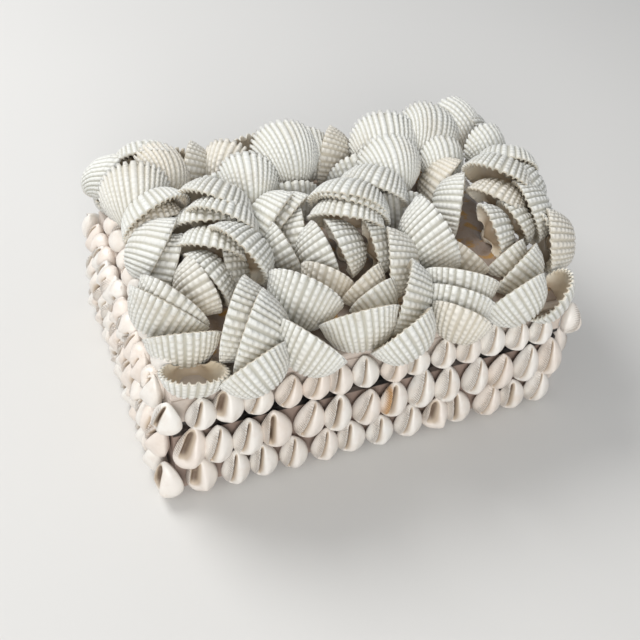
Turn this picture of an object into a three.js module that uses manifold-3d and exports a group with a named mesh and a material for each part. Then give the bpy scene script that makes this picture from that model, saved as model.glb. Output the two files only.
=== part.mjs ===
// Shell box: a covered board box with a lift-off lid, faced with small sea shells and
// crowned with six roses built up from ribbed cockle valves.
// Millimetres. +Z is up, +X runs along the front from left to right, +Y points to the back.
// The origin is the centre of the box's underside, on the surface it stands on.
import * as THREE from 'three';
import { mergeVertices } from 'three/addons/utils/BufferGeometryUtils.js';
import Module from 'manifold-3d';

const wasm = await Module();
wasm.setup();

// Driving dimensions of the board box.
const WIDTH = 150; // across the outside of the side walls
const DEPTH = 108; // across the outside of the front and back walls
const SEAM = 29.8; // top edge of the base walls
const GAP = 2.4; // shadow gap between base and lid
const LID_TOP = 46.5; // upper face of the lid
const FLOOR = 3; // floor board
const WALL = 3; // base wall board
const NECK = 1.6; // inner collar that carries the lid
const RIM = 2.6; // lid rim board, leaving the collar a sliding clearance
const TOP_BOARD = 2.5; // lid top board
const LID_CHAMFER = 0.8; // worn upper edge of the lid board
const AIR = 0.1; // glue film between a wall and the shells on it

// Rows of small shells. Their sizes are those of dove and nassa shells, laid point up.
const SMALL = { width: 10.6, length: 14.2, thickness: 7 };
const LID_SMALL = { width: 10.2, length: 13, thickness: 6.6 };
const ROW_FOOT = { lower: 0.7, upper: 14.7, lid: 33.2 }; // height of each row's lowest point
const GLUE_BED = { height: 4, thickness: 1.4 }; // bead of glue that ties a row together

// Cockle valves. height and depth are fractions of the width of a valve.
const VALVE = { height: 0.84, curl: 1.6, thickness: 0.12, hinge: 148 };
const ROSE_BED = { height: 9, crown: 0.6, eye: 0.3, skirt: 3 }; // heaped glue under a rose
const ROOT = { height: 1.15, near: 0.44, far: 0.85 }; // where a valve's root stands in the glue
const ROSE_AIR = 1.038; // how much a neighbour is swollen before its room is cut away
const CRUMB = 0.05; // finer edges than this, left where a shell meets the glue, are smoothed away
const SHELL_REACH = 7.4; // how far the shell rows stand out of the walls

const COVER = new THREE.MeshStandardMaterial({ color: 0xb9a596, roughness: 0.85, metalness: 0 });
const LINING = new THREE.MeshStandardMaterial({ color: 0x4a3b30, roughness: 0.9, metalness: 0 });
const SMALL_SHELL = new THREE.MeshStandardMaterial({ color: 0xe9e0d4, roughness: 0.45, metalness: 0 });
const RIBBED_SHELL = new THREE.MeshStandardMaterial({ color: 0xeef0ea, roughness: 0.5, metalness: 0 });

// Roses. A row of a rose is one valve: where the middle of its toothed lip stands (x, y in
// box coordinates and its rise above the lid), the bearing that its ribbed back faces, its
// lean away from upright (outwards is positive), its roll in its own plane, and its width.
// bed is the middle (x, y) and the half-axes (x, y) of the ring of glue that the beaks sit in.
const ROSES = {
  rose_front_left: {
    bed: [-49, -16, 26, 37],
    valves: [
      [-39, 5, 31, 50, -30, 20, 29],
      [-64, 11, 27, 110, -25, -30, 28],
      [-40, -4, 31, 50, -25, 20, 28],
      [-65, 9, 22, 105, -35, -35, 24],
      [-47, 0, 27, 75, -35, -5, 27],
      [-40, -20, 29, 25, -20, 30, 28],
      [-50, -13, 26, 60, -35, 5, 25],
      [-63, -6, 23, 150, -25, -35, 26],
      [-60, -11, 19, 160, -20, -40, 24],
      [-53, -24, 22, -165, 10, -35, 22],
      [-52, -23, 21, 20, -20, 40, 23],
      [-44, -17, 17, -10, -10, 45, 18],
      [-70, -29, 18, -165, 20, -35, 23],
      [-65, -33, 22, -145, 30, -25, 25],
      [-68, -46, 19, -100, 45, 0, 25],
      [-54, -48, 24, -35, 5, 45, 29],
      [-50, -55, 24, -35, 10, 40, 29],
      [-51, -65, 19, -65, 35, 30, 25],
      [-69, -61, 9, -115, 75, -10, 24],
    ],
  },
  rose_front_middle: {
    bed: [3, -16, 26, 37],
    valves: [
      [19, 2, 27, 45, -40, 10, 28],
      [3, -6, 32, 55, -30, -5, 30],
      [6, -9, 30, 50, -35, 5, 29],
      [1, -14, 28, 60, -40, 0, 28],
      [-20, 1, 21, 135, -20, -45, 25],
      [-15, 1, 20, 130, -25, -45, 23],
      [-11, -6, 18, 165, 5, -45, 22],
      [-19, -12, 18, -175, 20, -40, 22],
      [-7, -20, 21, -175, 15, -40, 22],
      [-4, -21, 22, 0, -20, 35, 23],
      [9, -24, 20, -5, -10, 45, 21],
      [10, -35, 20, -20, -5, 50, 26],
      [7, -53, 20, -30, 10, 50, 27],
      [1, -66, 18, -60, 35, 35, 25],
      [-22, -39, 25, -135, 25, -15, 27],
      [-10, -28, 18, -135, 30, -10, 20],
      [-3, -37, 17, -60, 25, 40, 19],
      [-1, -42, 16, -70, 25, 35, 19],
      [-11, -56, 21, -90, 40, 15, 27],
      [-29, -63, 21, -150, 35, -25, 26],
    ],
  },
  rose_front_right: {
    bed: [52, -16, 26, 37],
    valves: [
      [76, 2, 29, 60, -35, -5, 25],
      [67, -9, 31, 40, -35, 10, 29],
      [82, -12, 25, 10, -25, 40, 22],
      [73, -24, 23, -5, -20, 40, 25],
      [73, -40, 19, -25, -10, 50, 25],
      [62, -16, 25, 35, -40, 10, 24],
      [66, -25, 21, 5, -25, 30, 20],
      [55, -27, 22, -5, -15, 35, 22],
      [53, 8, 16, 130, -20, -55, 24],
      [52, -9, 20, 150, 0, -50, 25],
      [34, -28, 28, -170, 15, -30, 29],
      [30, -49, 23, -125, 40, 5, 26],
      [27, -54, 20, -130, 35, 0, 25],
      [24, -61, 18, -140, 35, -5, 22],
      [45, -33, 15, -160, 35, -30, 18],
      [55, -37, 15, -65, 25, 45, 18],
      [55, -46, 16, -55, 25, 50, 23],
      [45, -60, 18, -70, 30, 40, 26],
      [66, -63, 13, -30, 40, 45, 23],
    ],
  },
  rose_back_left: {
    bed: [-52, 37, 25, 18],
    valves: [
      [-63, 41, 28, -100, -25, 0, 26],
      [-47, 56, 24, -60, -30, -35, 25],
      [-41, 47, 19, -25, 5, 50, 23],
      [-76, 44, 20, 175, -20, -10, 24],
      [-55, 50, 26, 85, -30, 0, 25],
      [-67, 60, 18, 115, 30, 0, 25],
      [-44, 62, 18, 80, 35, 0, 26],
    ],
  },
  rose_back_middle: {
    bed: [0, 37, 25, 18],
    valves: [
      [-17, 39, 25, -105, -35, 0, 23],
      [-19, 54, 22, -130, -20, 0, 22],
      [0, 52, 29, -90, -35, 0, 28],
      [4, 41, 21, -105, 35, 5, 20],
      [9, 49, 26, -90, -10, 0, 23],
      [14, 40, 20, -35, 0, 50, 25],
      [-12, 62, 18, 105, 35, 0, 25],
      [12, 62, 18, 80, 35, 0, 25],
    ],
  },
  rose_back_right: {
    bed: [53, 37, 25, 18],
    valves: [
      [38, 34, 26, -100, -40, 5, 26],
      [44, 47, 29, -105, -30, 0, 29],
      [65, 31, 23, -90, -20, -15, 20],
      [70, 50, 26, -90, -40, -30, 28],
      [74, 52, 29, 35, -10, 5, 24],
      [82, 48, 22, 20, -20, -5, 21],
      [83, 32, 25, -75, -20, -10, 21],
      [50, 62, 18, 95, 35, 0, 25],
      [72, 62, 18, 75, 35, 0, 25],
    ],
  },
};

// Turns a three.js geometry into a solid that can be joined and cut.
function solidOf(geometry) {
  const bare = geometry.clone();
  bare.deleteAttribute('normal');
  bare.deleteAttribute('uv');
  const merged = mergeVertices(bare, 1e-4);
  const corners = merged.index.array;
  const kept = [];
  for (let i = 0; i < corners.length; i += 3) {
    const [a, b, c] = [corners[i], corners[i + 1], corners[i + 2]];
    if (a !== b && b !== c && c !== a) kept.push(a, b, c);
  }
  return new wasm.Manifold(new wasm.Mesh({
    numProp: 3,
    vertProperties: Float32Array.from(merged.attributes.position.array),
    triVerts: Uint32Array.from(kept),
  }));
}

// Turns a solid back into a three.js geometry.
function geometryOf(solid) {
  const mesh = solid.getMesh();
  const geometry = new THREE.BufferGeometry();
  geometry.setAttribute('position', new THREE.BufferAttribute(mesh.vertProperties, 3));
  geometry.setIndex(new THREE.BufferAttribute(mesh.triVerts, 1));
  return geometry;
}

function joined(solids) {
  return solids.reduce((sum, next) => sum.add(next));
}

// The largest body of a solid, which drops crumbs that a cut leaves loose.
function mainBody(solid) {
  return solid.decompose().reduce((best, next) => (next.volume() > best.volume() ? next : best));
}

// A box between two corners, as a geometry in its final place.
function boxBetween(low, high) {
  const size = high.map((value, axis) => value - low[axis]);
  const geometry = new THREE.BoxGeometry(...size);
  return geometry.translate(...low.map((value, axis) => value + size[axis] / 2));
}

const part = new THREE.Group();

function addPiece(name, geometry, material) {
  const mesh = new THREE.Mesh(geometry, material.clone());
  mesh.name = name;
  part.add(mesh);
  return mesh;
}

// Four boards standing round a rectangle: front and back run the full width, the side
// boards fit between them.
function addFrame(name, halfWidth, halfDepth, thickness, bottom, top, material) {
  const innerDepth = halfDepth - thickness;
  const boards = {
    front: [[-halfWidth, -halfDepth], [halfWidth, -innerDepth]],
    back: [[-halfWidth, innerDepth], [halfWidth, halfDepth]],
    left: [[-halfWidth, -innerDepth], [thickness - halfWidth, innerDepth]],
    right: [[halfWidth - thickness, -innerDepth], [halfWidth, innerDepth]],
  };
  for (const [side, [low, high]] of Object.entries(boards)) {
    addPiece(`${name}_${side}`, boxBetween([...low, bottom], [...high, top]), material);
  }
}

function addBase() {
  const inner = [WIDTH / 2 - WALL, DEPTH / 2 - WALL];
  addPiece('base_floor', boxBetween([-inner[0], -inner[1], 0], [...inner, FLOOR]), COVER);
  addFrame('base_wall', WIDTH / 2, DEPTH / 2, WALL, 0, SEAM, COVER);
  addFrame('neck', ...inner, NECK, FLOOR, LID_TOP - TOP_BOARD, LINING);
}

function addLid() {
  const [x, y] = [WIDTH / 2 - LID_CHAMFER, DEPTH / 2 - LID_CHAMFER];
  const outline = new THREE.Shape([[-x, -y], [x, -y], [x, y], [-x, y]].map((p) => new THREE.Vector2(...p)));
  const board = new THREE.ExtrudeGeometry(outline, {
    depth: TOP_BOARD - 2 * LID_CHAMFER,
    bevelSize: LID_CHAMFER,
    bevelThickness: LID_CHAMFER,
    bevelSegments: 1,
  });
  board.translate(0, 0, LID_TOP - TOP_BOARD + LID_CHAMFER);
  addPiece('lid_top', board, COVER);
  addFrame('lid_rim', WIDTH / 2, DEPTH / 2, RIM, SEAM + GAP, LID_TOP - TOP_BOARD, COVER);
}

// One small shell, point up, its flat back on the plane y = 0 and its belly towards -Y.
function smallShell({ width, length, thickness }) {
  const belly = [[0, 0], [1, 0.36], [0, 1]];
  const outline = belly.map(([r, z]) => new THREE.Vector2((r * width) / 2, z * length));
  const geometry = new THREE.LatheGeometry(outline, 6);
  geometry.rotateX(Math.PI / 2);
  const places = geometry.attributes.position;
  for (let i = 0; i < places.count; i += 1) {
    const deep = (places.getY(i) / (width / 2)) * (thickness / 1.5) - thickness / 3;
    places.setY(i, Math.min(deep, -AIR));
  }
  return geometry;
}

// A row along one wall. The wall is `span` long and stands `reach` from the centre; the
// shells run from the one at `first`, `pitch` apart, and ends beyond the wall sit on a corner.
function shellRow({ span, reach, bedHalf, foot, size, count, first, pitch }) {
  const pieces = [];
  for (let i = 0; i < count; i += 1) {
    const x = first + i * pitch;
    const shell = smallShell(size);
    const onCorner = Math.abs(x) > span / 2 - 2;
    if (onCorner) shell.rotateZ((Math.sign(x) * Math.PI) / 4);
    shell.translate(onCorner ? (Math.sign(x) * span) / 2 : x, -reach, foot);
    pieces.push(solidOf(shell));
  }
  const middle = foot + size.length * 0.36;
  const bed = boxBetween(
    [-bedHalf, -reach - GLUE_BED.thickness, middle - GLUE_BED.height / 2],
    [bedHalf, -reach - AIR, middle + GLUE_BED.height / 2],
  );
  return mainBody(joined([...pieces, solidOf(bed)]).simplify(CRUMB));
}

function addRows() {
  const long = { span: WIDTH, reach: DEPTH / 2, bedHalf: WIDTH / 2 + 1 };
  const short = { span: DEPTH, reach: WIDTH / 2, bedHalf: DEPTH / 2 - 7 };
  const sides = { front: [long, 0], right: [short, 1], back: [long, 2], left: [short, 3] };
  const rows = {
    lid_shells: { foot: ROW_FOOT.lid, size: LID_SMALL, long: [16, -76, 10], short: [9, -43, 10.7] },
    upper_shells: { foot: ROW_FOOT.upper, size: SMALL, long: [14, -72, 11.1], short: [10, -47.5, 10.5] },
    lower_shells: { foot: ROW_FOOT.lower, size: SMALL, long: [14, -77, 11.3], short: [9, -48, 11.4] },
  };
  for (const [name, row] of Object.entries(rows)) {
    for (const [side, [wall, turn]] of Object.entries(sides)) {
      const [count, first, pitch] = wall === long ? row.long : row.short;
      const solid = shellRow({ ...wall, foot: row.foot, size: row.size, count, first, pitch });
      const mesh = addPiece(`${name}_${side}`, geometryOf(solid), SMALL_SHELL);
      mesh.rotation.z = (turn * Math.PI) / 2;
    }
  }
}

// One valve in its own frame: hinge along X at the origin, lip towards +Y, ribbed back
// towards +Z. Its rings shrink and roll over towards the beak, as a growing shell does, and
// below them it is drawn out to a root, which is the beak with the glue that it stands in.
function valvePoint(width, share, angle) {
  const height = width * VALVE.height;
  const x = (share * width * Math.sin(angle)) / 2;
  const y = share * height * (0.47 + 0.53 * Math.cos(angle));
  const roll = -VALVE.curl * Math.log(share);
  return new THREE.Vector3(x, y * Math.cos(roll), y * Math.sin(roll));
}

function valveGeometry(width, thickness, root) {
  const hinge = THREE.MathUtils.degToRad(VALVE.hinge);
  const columns = 6;
  const heart = new THREE.Vector3(0, width * 0.38, width * 0.1);
  const ring = (share) => Array.from({ length: columns }, (_, i) => (
    valvePoint(width, share, hinge * ((2 * i) / (columns - 1) - 1))
  ));
  const [belly, lip] = [ring(0.56), ring(1)];
  const inner = [root, ...lip].map((p) => p.clone().lerp(heart, thickness));
  const [bellyAt, lipAt] = [1, 1 + columns];
  const [innerRoot, innerAt] = [1 + 2 * columns, 2 + 2 * columns];
  const corners = [];
  const quad = (a, b, c, d) => corners.push(a, b, c, a, c, d);
  for (let i = 0; i < columns - 1; i += 1) {
    corners.push(0, bellyAt + i + 1, bellyAt + i, innerRoot, innerAt + i, innerAt + i + 1);
    quad(bellyAt + i, bellyAt + i + 1, lipAt + i + 1, lipAt + i);
    quad(lipAt + i, lipAt + i + 1, innerAt + i + 1, innerAt + i);
  }
  const last = columns - 1;
  quad(bellyAt + last, 0, innerRoot, innerAt + last);
  quad(0, bellyAt, innerAt, innerRoot);
  corners.push(lipAt + last, bellyAt + last, innerAt + last, bellyAt, lipAt, innerAt);
  const geometry = new THREE.BufferGeometry();
  geometry.setFromPoints([root, ...belly, ...lip, ...inner]);
  geometry.setIndex(corners);
  return geometry;
}

// How a valve stands in its rose: see ROSES for what the numbers of a row mean.
function valvePlace([x, y, rise, bearing, lean, roll, width]) {
  const radians = THREE.MathUtils.degToRad;
  const [upright, tipped] = [Math.cos(radians(lean)), Math.sin(radians(lean))];
  const out = new THREE.Vector3(Math.cos(radians(bearing)), Math.sin(radians(bearing)), 0);
  const up = new THREE.Vector3(0, 0, 1);
  const lip = up.clone().multiplyScalar(upright).addScaledVector(out, tipped);
  const back = out.clone().multiplyScalar(upright).addScaledVector(up, -tipped);
  const place = new THREE.Matrix4().makeBasis(lip.clone().cross(back), lip, back);
  place.multiply(new THREE.Matrix4().makeRotationZ(radians(roll)));
  place.multiply(new THREE.Matrix4().makeTranslation(0, -width * VALVE.height, 0));
  return new THREE.Matrix4().makeTranslation(x, y, LID_TOP + rise).multiply(place);
}

// Where a valve is rooted: under its beak, or on the glue next to it where that lies off the glue.
function rootOf(row, [x, y, halfWidth, halfDepth]) {
  const beak = new THREE.Vector3().applyMatrix4(valvePlace(row));
  const share = Math.hypot((beak.x - x) / halfWidth, (beak.y - y) / halfDepth);
  const pull = THREE.MathUtils.clamp(share, ROOT.near, ROOT.far) / share;
  return new THREE.Vector3(x + pull * (beak.x - x), y + pull * (beak.y - y), LID_TOP + ROOT.height);
}

function placedValve(row, bed, swell) {
  const place = valvePlace(row);
  const width = row.at(-1);
  const thickness = VALVE.thickness + 2 * (swell - 1);
  const root = rootOf(row, bed).applyMatrix4(place.clone().invert());
  const geometry = valveGeometry(width, thickness, root);
  const middle = (width * VALVE.height) / 2;
  geometry.translate(0, -middle, 0).scale(swell, swell, swell).translate(0, middle, 0);
  return geometry.applyMatrix4(place);
}

function roseSolid({ bed, valves }, swell) {
  const [x, y, halfWidth, halfDepth] = bed;
  const { height, crown, eye, skirt } = ROSE_BED;
  const section = [[eye, 0], [1, 0], [1, skirt], [crown, height], [eye, height], [eye, 0]];
  const ring = new THREE.LatheGeometry(section.map((p) => new THREE.Vector2(...p)), 12);
  ring.rotateX(Math.PI / 2);
  ring.scale(halfWidth * swell, halfDepth * swell, swell);
  ring.translate(x, y, LID_TOP);
  return joined([ring, ...valves.map((row) => placedValve(row, bed, swell))].map(solidOf));
}

function addRoses() {
  const [x, y] = [WIDTH / 2 + SHELL_REACH, DEPTH / 2 + SHELL_REACH];
  const boxBelow = solidOf(boxBetween([-x, -y, -1], [x, y, LID_TOP + AIR]));
  const taken = [];
  for (const [name, rose] of Object.entries(ROSES)) {
    const whole = roseSolid(rose, 1).subtract(boxBelow);
    const free = mainBody(taken.reduce((rest, neighbour) => rest.subtract(neighbour), whole));
    addPiece(name, geometryOf(free), RIBBED_SHELL);
    taken.push(roseSolid(rose, ROSE_AIR), whole);
  }
}

addBase();
addLid();
addRows();
addRoses();

export default part;
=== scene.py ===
"""Shell box: small shells in rows round a covered board box, and six roses of ribbed valves on its lid.

Metres. +Z is up, +X runs along the front from left to right, +Y points to the back, and the origin
is the centre of the underside. Run as a script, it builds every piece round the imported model.
"""
import math
import random
import bpy
import numpy as np
from mathutils import Matrix, Vector


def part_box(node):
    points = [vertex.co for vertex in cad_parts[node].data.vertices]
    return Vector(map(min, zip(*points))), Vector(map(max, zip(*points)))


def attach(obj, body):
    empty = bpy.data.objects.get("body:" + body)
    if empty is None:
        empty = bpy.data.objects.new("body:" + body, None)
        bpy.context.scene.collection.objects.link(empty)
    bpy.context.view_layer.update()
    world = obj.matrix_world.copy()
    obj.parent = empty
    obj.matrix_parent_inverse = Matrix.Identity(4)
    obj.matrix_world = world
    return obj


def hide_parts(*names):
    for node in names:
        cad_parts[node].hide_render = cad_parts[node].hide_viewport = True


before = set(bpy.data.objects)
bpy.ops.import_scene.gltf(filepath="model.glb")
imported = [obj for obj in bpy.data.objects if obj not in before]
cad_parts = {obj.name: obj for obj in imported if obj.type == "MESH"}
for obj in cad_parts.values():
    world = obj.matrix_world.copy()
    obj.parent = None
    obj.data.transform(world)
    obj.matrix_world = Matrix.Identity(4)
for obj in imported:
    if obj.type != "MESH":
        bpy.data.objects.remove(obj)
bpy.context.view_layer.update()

bl_info = {
    "name": "Shell Box",
    "version": (1, 0, 0),
    "blender": (4, 5, 0),
    "location": "View3D > Sidebar > Shell Box",
    "description": "Builds the shells, roses, finishes and studio of a shell-covered box",
    "category": "Add Mesh",
}

BODY = "root"
MM = 0.001
LID_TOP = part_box("lid_top")[1].z
# Heights between which the covering is painted near black: a painted shadow of the gap between lid and base.
GAP_SHADOW_HEIGHTS = (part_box("base_wall_front")[1].z - 2.6 * MM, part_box("lid_rim_front")[0].z + 1.6 * MM)
BOX_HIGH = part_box("base_wall_back")[1]
WALL_HALF = {"front": BOX_HIGH.x, "back": BOX_HIGH.x, "left": BOX_HIGH.y, "right": BOX_HIGH.y}
WALL_REACH = {"front": BOX_HIGH.y, "back": BOX_HIGH.y, "left": BOX_HIGH.x, "right": BOX_HIGH.x}
WALL_TURN = {"front": 0, "right": 1, "back": 2, "left": 3}

# Roses, in millimetres and degrees. A row is one valve: where the middle of its toothed lip
# stands (x, y and the rise above the lid), the bearing that its ribbed back faces, its lean away
# from upright (outwards is positive), its roll in its own plane, and its width. Most rows were
# fitted by a program and then adjusted, so they don't follow from any driving size.
ROSES = {
    "rose_front_left": (
        (-39, 5, 31, 50, -30, 20, 29),
        (-64, 11, 27, 110, -25, -30, 28),
        (-40, -4, 31, 50, -25, 20, 28),
        (-65, 9, 22, 105, -35, -35, 24),
        (-47, 0, 27, 75, -35, -5, 27),
        (-40, -20, 29, 25, -20, 30, 28),
        (-50, -13, 26, 60, -35, 5, 25),
        (-63, -6, 23, 150, -25, -35, 26),
        (-60, -11, 19, 160, -20, -40, 24),
        (-53, -24, 22, -165, 10, -35, 22),
        (-52, -23, 21, 20, -20, 40, 23),
        (-44, -17, 17, -10, -10, 45, 18),
        (-68, -34, 21, -145, 38, -32, 29),
        (-64, -32, 23, -145, 24, -32, 27),
        (-68, -46, 19, -100, 45, 0, 25),
        (-54, -48, 24, -35, 5, 45, 29),
        (-50, -55, 24, -35, 10, 40, 29),
        (-51, -65, 19, -65, 35, 30, 25),
        (-68, -63, 12.5, -110, 70, -12, 22),
    ),
    "rose_front_middle": (
        (19, 2, 27, 45, -40, 10, 28),
        (3, -6, 32, 55, -30, -5, 30),
        (6, -9, 30, 50, -35, 5, 29),
        (1, -14, 28, 60, -40, 0, 28),
        (-20, 1, 21, 135, -20, -45, 25),
        (-15, 1, 20, 130, -25, -45, 23),
        (-11, -6, 18, 165, 5, -45, 22),
        (-19, -12, 18, -175, 20, -40, 22),
        (-7, -20, 21, -175, 15, -40, 22),
        (-4, -21, 22, 0, -20, 35, 23),
        (9, -24, 20, -5, -10, 45, 21),
        (10, -35, 20, -20, -5, 50, 26),
        (7, -53, 20, -30, 10, 50, 27),
        (1, -66, 18, -60, 35, 35, 25),
        (-22, -39, 25, -135, 25, -15, 27),
        (-10, -28, 18, -135, 30, -10, 20),
        (-3, -37, 17, -60, 25, 40, 19),
        (-1, -42, 16, -70, 25, 35, 19),
        (-11, -56, 21, -90, 40, 15, 27),
        (-29, -63, 21, -150, 35, -25, 26),
    ),
    "rose_front_right": (
        (76, 2, 29, 60, -35, -5, 25),
        (67, -9, 31, 40, -35, 10, 29),
        (79, -12, 25, 10, -25, 40, 22),
        (77, -30, 20, -5, -5, 10, 25),
        (73, -24, 23, -5, -20, 40, 25),
        (73, -40, 19, -25, -10, 50, 25),
        (62, -16, 25, 35, -40, 10, 24),
        (66, -25, 21, 5, -25, 30, 20),
        (55, -27, 22, -5, -15, 35, 22),
        (53, 8, 16, 130, -20, -55, 24),
        (52, -9, 20, 150, 0, -50, 25),
        (34, -28, 28, -170, 15, -30, 29),
        (30, -49, 23, -125, 40, 5, 26),
        (27, -54, 20, -130, 35, 0, 25),
        (24, -61, 18, -140, 35, -5, 22),
        (45, -33, 15, -160, 35, -30, 18),
        (55, -37, 15, -65, 25, 45, 18),
        (55, -46, 16, -55, 25, 50, 23),
        (45, -60, 18, -70, 30, 40, 26),
        (66, -63, 13, -30, 40, 45, 23),
    ),
    "rose_back_left": (
        (-63, 41, 28, -100, -25, 0, 26),
        (-47, 56, 24, -60, -30, -35, 25),
        (-41, 47, 19, -25, 5, 50, 23),
        (-65, 52, 22, 150, -30, 0, 21),
        (-55, 50, 26, 85, -30, 0, 25),
        (-67, 60, 18, 115, 30, 0, 25),
        (-44, 62, 18, 80, 35, 0, 26),
        (-52, 31, 17, -85, 30, 0, 24),
    ),
    "rose_back_middle": (
        (-17, 39, 25, -105, -35, 0, 23),
        (-19, 54, 22, -130, -20, 0, 22),
        (0, 52, 29, -90, -35, 0, 28),
        (4, 41, 21, -105, 35, 5, 20),
        (9, 49, 26, -90, -10, 0, 23),
        (14, 40, 20, -35, 0, 50, 25),
        (-12, 62, 18, 105, 35, 0, 25),
        (12, 62, 18, 80, 35, 0, 25),
        (-15, 28, 17, -100, 30, -10, 25),
        (-33, 38, 19, -95, 10, 15, 22),
        (-3, 27, 17, -95, 20, 0, 24),
    ),
    "rose_back_right": (
        (38, 34, 26, -100, -40, 5, 26),
        (44, 47, 29, -105, -30, 0, 29),
        (65, 31, 23, -90, -20, -15, 20),
        (70, 50, 26, -90, -40, -30, 28),
        (78, 57, 24, -70, -35, 0, 24),
        (82, 48, 22, 20, -20, -5, 21),
        (83, 32, 25, -75, -20, -10, 21),
        (50, 62, 18, 95, 35, 0, 25),
        (72, 62, 18, 75, 35, 0, 25),
        (32, 22, 19, -95, 25, 0, 24),
        (24, 33, 20, -90, 5, 10, 23),
        (36, 8, 17, -105, 20, 0, 24),
    ),
}

# Rows of small shells: the foot above the table, the size of a shell, and for a long and a short
# wall how many there are, where the first one stands and how far apart they are, in millimetres.
ROWS = {
    "lid_shells": {
        "foot": 33.2, "size": (10.6, 13.4, 6.8), "long": (16, -76, 10), "short": (9, -43, 10.7)},
    "upper_shells": {
        "foot": 14.7, "size": (11.3, 17.0, 7.6), "long": (14, -72, 11.1), "short": (10, -47.5, 10.5)},
    "lower_shells": {
        "foot": 0.7, "size": (11.3, 15.0, 7.4), "long": (14, -77, 11.3), "short": (9, -48, 11.4)},
}

# Shells that differ from their neighbours, by row, side and place in the row.
ODD_SHELLS = {
    ("lid_shells", "front", 2): {"kind": 3},
    ("upper_shells", "front", 0): {"kind": 3},
    ("upper_shells", "front", 7): {"kind": 2, "stain": 1.0},
    ("lower_shells", "front", 0): {"kind": 3},
}
CROWDED_SIDE = "left"  # here more shells fill the gaps, and a row lies on the lid's edge


# ---------------------------------------------------------------- settings

class ShellBoxSizes(bpy.types.PropertyGroup):
    rib_pitch: bpy.props.FloatProperty(
        name="Rib pitch", description="Distance between the ribs of a valve at its widest",
        default=1.62 * MM, unit="LENGTH")
    rib_relief: bpy.props.FloatProperty(
        name="Rib relief", description="How far the ribs of a valve stand out at its lip",
        default=0.84 * MM, unit="LENGTH")
    valve_wall: bpy.props.FloatProperty(
        name="Valve wall", description="Thickness of a ribbed valve at its lip",
        default=0.95 * MM, unit="LENGTH")
    valve_rings: bpy.props.IntProperty(
        name="Valve rings", description="Growth rings modelled on each valve", default=11, min=6)
    slit_width: bpy.props.FloatProperty(
        name="Slit width", description="Half the width of a small shell's opening, as a share of its width",
        default=0.056)
    slit_depth: bpy.props.FloatProperty(
        name="Slit depth", description="Depth of a small shell's opening, as a share of its thickness",
        default=0.50)
    glue_height: bpy.props.FloatProperty(
        name="Glue height", description="Height of the glue heaped in the middle of a rose",
        default=5 * MM, unit="LENGTH")


class ShellBoxColours(bpy.types.PropertyGroup):
    valve: bpy.props.FloatVectorProperty(
        name="Ribbed shell", description="Chalky white of the ribs", subtype="COLOR",
        default=(0.85, 0.85, 0.81))
    # Painted shade: the darker grey given to the valleys between the ribs.
    valve_valley_shade: bpy.props.FloatVectorProperty(
        name="Rib valleys", description="Greyer tone between the ribs", subtype="COLOR",
        default=(0.45, 0.435, 0.36))
    valve_inside: bpy.props.FloatVectorProperty(
        name="Shell inside", description="Cream and tan of the smooth inside", subtype="COLOR",
        default=(0.72, 0.63, 0.49))
    small: bpy.props.FloatVectorProperty(
        name="Small shell", description="Warm porcelain white", subtype="COLOR",
        default=(0.86, 0.82, 0.765))
    # Painted shade: the near-black inside of a small shell's opening stands for the shade in its hollow.
    small_slit_shade: bpy.props.FloatVectorProperty(
        name="Slit", description="Taupe of the opening of a small shell", subtype="COLOR",
        default=(0.15, 0.10, 0.065))
    # Painted shade: the base's copy of the covering, made darker as if shaded by the lid; the lid has the
    # same covering, paler.
    cover_in_shade: bpy.props.FloatVectorProperty(
        name="Covering", description="Mauve-beige of the box's covering", subtype="COLOR",
        default=(0.35, 0.265, 0.225))
    # Painted light: the lid's copy of the box's one covering, made paler as if lit from above; it also covers
    # the lid's rims.
    lid: bpy.props.FloatVectorProperty(
        name="Lid paper", description="Pale pinkish paper on the lid", subtype="COLOR",
        default=(0.64, 0.56, 0.50))
    glue: bpy.props.FloatVectorProperty(
        name="Glue", description="Amber of the old glue", subtype="COLOR",
        default=(0.44, 0.25, 0.07))
    # Lining of the neck boards, made near black as painted shade: it stands for the shadow in the gap between
    # lid and base.
    lining: bpy.props.FloatVectorProperty(
        name="Lining", description="Dark lining inside and in the gap", subtype="COLOR",
        default=(0.06, 0.042, 0.032))
    floor: bpy.props.FloatVectorProperty(
        name="Floor", description="Pale studio floor", subtype="COLOR", default=(0.70, 0.69, 0.67))


# ---------------------------------------------------------------- shader tools

def add_node(tree, kind, values=None, **settings):
    """One node with its properties and the values of its inputs, by name or number."""
    node = tree.nodes.new(kind)
    for key, value in settings.items():
        setattr(node, key, value)
    for key, value in (values or {}).items():
        node.inputs[key].default_value = value
    return node


def math_node(tree, operation, first, second=None, third=None, clamp=False):
    node = add_node(tree, "ShaderNodeMath", operation=operation, use_clamp=clamp)
    for socket, value in zip(node.inputs, (first, second, third)):
        if isinstance(value, bpy.types.NodeSocket):
            tree.links.new(value, socket)
        elif value is not None:
            socket.default_value = value
    return node.outputs[0]


def mix_colour(tree, share, first, second, blend="MIX"):
    node = add_node(tree, "ShaderNodeMix", data_type="RGBA", blend_type=blend)
    sockets = (node.inputs[0], node.inputs[6], node.inputs[7])
    for socket, value in zip(sockets, (share, first, second)):
        if isinstance(value, bpy.types.NodeSocket):
            tree.links.new(value, socket)
        elif hasattr(value, "__len__"):
            socket.default_value = (*value[:3], 1.0)
        else:
            socket.default_value = value
    return node.outputs[2]


def span(tree, value, low, high, out_low=0.0, out_high=1.0, smooth=True):
    """value taken from low..high to out_low..out_high, and held at the ends."""
    node = add_node(tree, "ShaderNodeMapRange", clamp=True)
    if smooth:
        node.interpolation_type = "SMOOTHSTEP"
    tree.links.new(value, node.inputs["Value"])
    for name, number in (("From Min", low), ("From Max", high), ("To Min", out_low), ("To Max", out_high)):
        node.inputs[name].default_value = number
    return node.outputs[0]


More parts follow.
